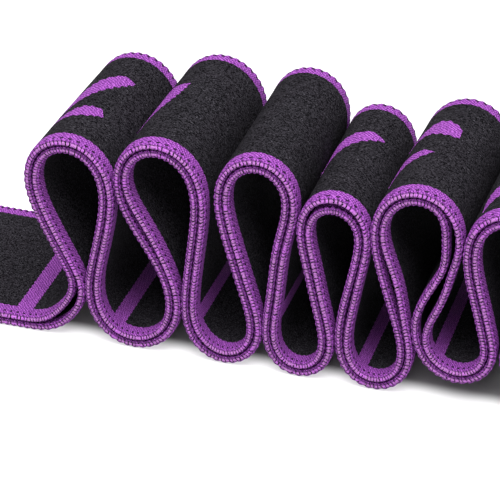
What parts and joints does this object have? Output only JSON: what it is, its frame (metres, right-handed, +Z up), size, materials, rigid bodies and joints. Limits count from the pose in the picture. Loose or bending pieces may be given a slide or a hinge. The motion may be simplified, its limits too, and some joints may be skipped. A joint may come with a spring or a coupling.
{
  "type": "stretching strap",
  "caption": "Two-ply elastic webbing strap with cross seams that form loops, folded concertina-fashion and standing on its lower bends.",
  "frame": {"origin": "under the middle of the folded strap, on the surface that it stands on", "axes": "+X along the row of folds, +Y across the webbing away from the front selvedge, +Z up"},
  "size_m": [0.3298, 0.04, 0.0481],
  "materials": {
    "woven_elastic": "woven, matt",
    "purple_yarn": "woven, soft sheen",
    "seam_yarn": "woven, matt",
    "rubber_thread": "matt"
  },
  "bodies": {
    "left_end": {"upper_ply_left_end": "woven_elastic", "lower_ply_left_end": "woven_elastic", "rubber_threads_left_end": "rubber_thread", "cross_seam_0": "seam_yarn"},
    "left_tail": {"upper_ply_left_tail": "woven_elastic", "lower_ply_left_tail": "woven_elastic", "rubber_threads_left_tail": "rubber_thread", "cross_seam_1": "seam_yarn"},
    "leg_01": {"upper_ply_leg_01": "woven_elastic", "lower_ply_leg_01": "woven_elastic", "rubber_threads_leg_01": "rubber_thread"},
    "leg_02": {"upper_ply_leg_02": "woven_elastic", "lower_ply_leg_02": "woven_elastic", "rubber_threads_leg_02": "rubber_thread", "cross_seam_2": "seam_yarn"},
    "leg_03": {"upper_ply_leg_03": "woven_elastic", "lower_ply_leg_03": "woven_elastic", "rubber_threads_leg_03": "rubber_thread"},
    "leg_04": {"upper_ply_leg_04": "woven_elastic", "lower_ply_leg_04": "woven_elastic", "rubber_threads_leg_04": "rubber_thread", "cross_seam_3": "seam_yarn"},
    "leg_05": {"upper_ply_leg_05": "woven_elastic", "lower_ply_leg_05": "woven_elastic", "rubber_threads_leg_05": "rubber_thread"},
    "leg_06": {"upper_ply_leg_06": "woven_elastic", "lower_ply_leg_06": "woven_elastic", "rubber_threads_leg_06": "rubber_thread", "cross_seam_4": "seam_yarn"},
    "leg_07": {"upper_ply_leg_07": "woven_elastic", "lower_ply_leg_07": "woven_elastic", "rubber_threads_leg_07": "rubber_thread"},
    "leg_08": {"upper_ply_leg_08": "woven_elastic", "lower_ply_leg_08": "woven_elastic", "rubber_threads_leg_08": "rubber_thread", "cross_seam_5": "seam_yarn"},
    "leg_09": {"upper_ply_leg_09": "woven_elastic", "lower_ply_leg_09": "woven_elastic", "rubber_threads_leg_09": "rubber_thread"},
    "leg_10": {"upper_ply_leg_10": "woven_elastic", "lower_ply_leg_10": "woven_elastic", "rubber_threads_leg_10": "rubber_thread", "cross_seam_6": "seam_yarn"},
    "leg_11": {"upper_ply_leg_11": "woven_elastic", "lower_ply_leg_11": "woven_elastic", "rubber_threads_leg_11": "rubber_thread"},
    "leg_12": {"upper_ply_leg_12": "woven_elastic", "lower_ply_leg_12": "woven_elastic", "rubber_threads_leg_12": "rubber_thread"},
    "right_tail": {"upper_ply_right_tail": "woven_elastic", "lower_ply_right_tail": "woven_elastic", "rubber_threads_right_tail": "rubber_thread", "cross_seam_7": "seam_yarn"},
    "right_end": {"upper_ply_right_end": "woven_elastic", "lower_ply_right_end": "woven_elastic", "rubber_threads_right_end": "rubber_thread", "cross_seam_8": "seam_yarn"}
  },
  "joints": [
    {"name": "floor_fold_0", "type": "hinge", "parent": "left_tail", "child": "leg_01", "pos_m": [-0.04813, 0, 0.00514], "axis": [0, 1, 0], "range_deg": [0, 29.7]},
    {"name": "top_fold_1", "type": "hinge", "parent": "leg_01", "child": "leg_02", "pos_m": [-0.04875, 0, 0.04586], "axis": [0, -1, 0], "range_deg": [0, 55]},
    {"name": "floor_fold_1", "type": "hinge", "parent": "leg_02", "child": "leg_03", "pos_m": [-0.03571, 0, 0.00002], "axis": [0, 1, 0], "range_deg": [0, 55]},
    {"name": "top_fold_2", "type": "hinge", "parent": "leg_03", "child": "leg_04", "pos_m": [-0.03006, 0, 0.04798], "axis": [0, -1, 0], "range_deg": [0, 55]},
    {"name": "floor_fold_2", "type": "hinge", "parent": "leg_04", "child": "leg_05", "pos_m": [-0.01656, 0, 0.00005], "axis": [0, 1, 0], "range_deg": [0, 55]},
    {"name": "top_fold_3", "type": "hinge", "parent": "leg_05", "child": "leg_06", "pos_m": [-0.0098, 0, 0.04786], "axis": [0, -1, 0], "range_deg": [0, 55]},
    {"name": "floor_fold_3", "type": "hinge", "parent": "leg_06", "child": "leg_07", "pos_m": [-0.00106, 0, -0.00001], "axis": [0, 1, 0], "range_deg": [0, 55]},
    {"name": "top_fold_4", "type": "hinge", "parent": "leg_07", "child": "leg_08", "pos_m": [0.00552, 0, 0.04212], "axis": [0, -1, 0], "range_deg": [0, 55]},
    {"name": "floor_fold_4", "type": "hinge", "parent": "leg_08", "child": "leg_09", "pos_m": [0.01447, 0, -0.00001], "axis": [0, 1, 0], "range_deg": [0, 55]},
    {"name": "top_fold_5", "type": "hinge", "parent": "leg_09", "child": "leg_10", "pos_m": [0.02194, 0, 0.04618], "axis": [0, -1, 0], "range_deg": [0, 55]},
    {"name": "floor_fold_5", "type": "hinge", "parent": "leg_10", "child": "leg_11", "pos_m": [0.03104, 0, 0.00477], "axis": [0, 1, 0], "range_deg": [0, 55]},
    {"name": "top_fold_6", "type": "hinge", "parent": "leg_11", "child": "leg_12", "pos_m": [0.03977, 0, 0.04431], "axis": [0, -1, 0], "range_deg": [0, 55]},
    {"name": "floor_fold_6", "type": "hinge", "parent": "leg_12", "child": "right_tail", "pos_m": [0.04146, 0, 0.00528], "axis": [0, 1, 0], "range_deg": [0, 25.3]},
    {"name": "left_end_stretch", "type": "slide", "parent": "left_tail", "child": "left_end", "axis": [-1, 0, 0], "range_m": [0, 0.04], "stiffness_N_per_m": 150},
    {"name": "right_end_stretch", "type": "slide", "parent": "right_tail", "child": "right_end", "axis": [1, 0, 0], "range_m": [0, 0.04], "stiffness_N_per_m": 150}
  ],
  "couplings": [
    {"joint": "floor_fold_0", "follows": "top_fold_1", "ratio": 0.54},
    {"joint": "floor_fold_1", "follows": "top_fold_1", "ratio": 1},
    {"joint": "top_fold_2", "follows": "top_fold_1", "ratio": 1},
    {"joint": "floor_fold_2", "follows": "top_fold_1", "ratio": 1},
    {"joint": "top_fold_3", "follows": "top_fold_1", "ratio": 1},
    {"joint": "floor_fold_3", "follows": "top_fold_1", "ratio": 1},
    {"joint": "top_fold_4", "follows": "top_fold_1", "ratio": 1},
    {"joint": "floor_fold_4", "follows": "top_fold_1", "ratio": 1},
    {"joint": "top_fold_5", "follows": "top_fold_1", "ratio": 1},
    {"joint": "floor_fold_5", "follows": "top_fold_1", "ratio": 1},
    {"joint": "top_fold_6", "follows": "top_fold_1", "ratio": 1},
    {"joint": "floor_fold_6", "follows": "top_fold_1", "ratio": 0.46}
  ]
}
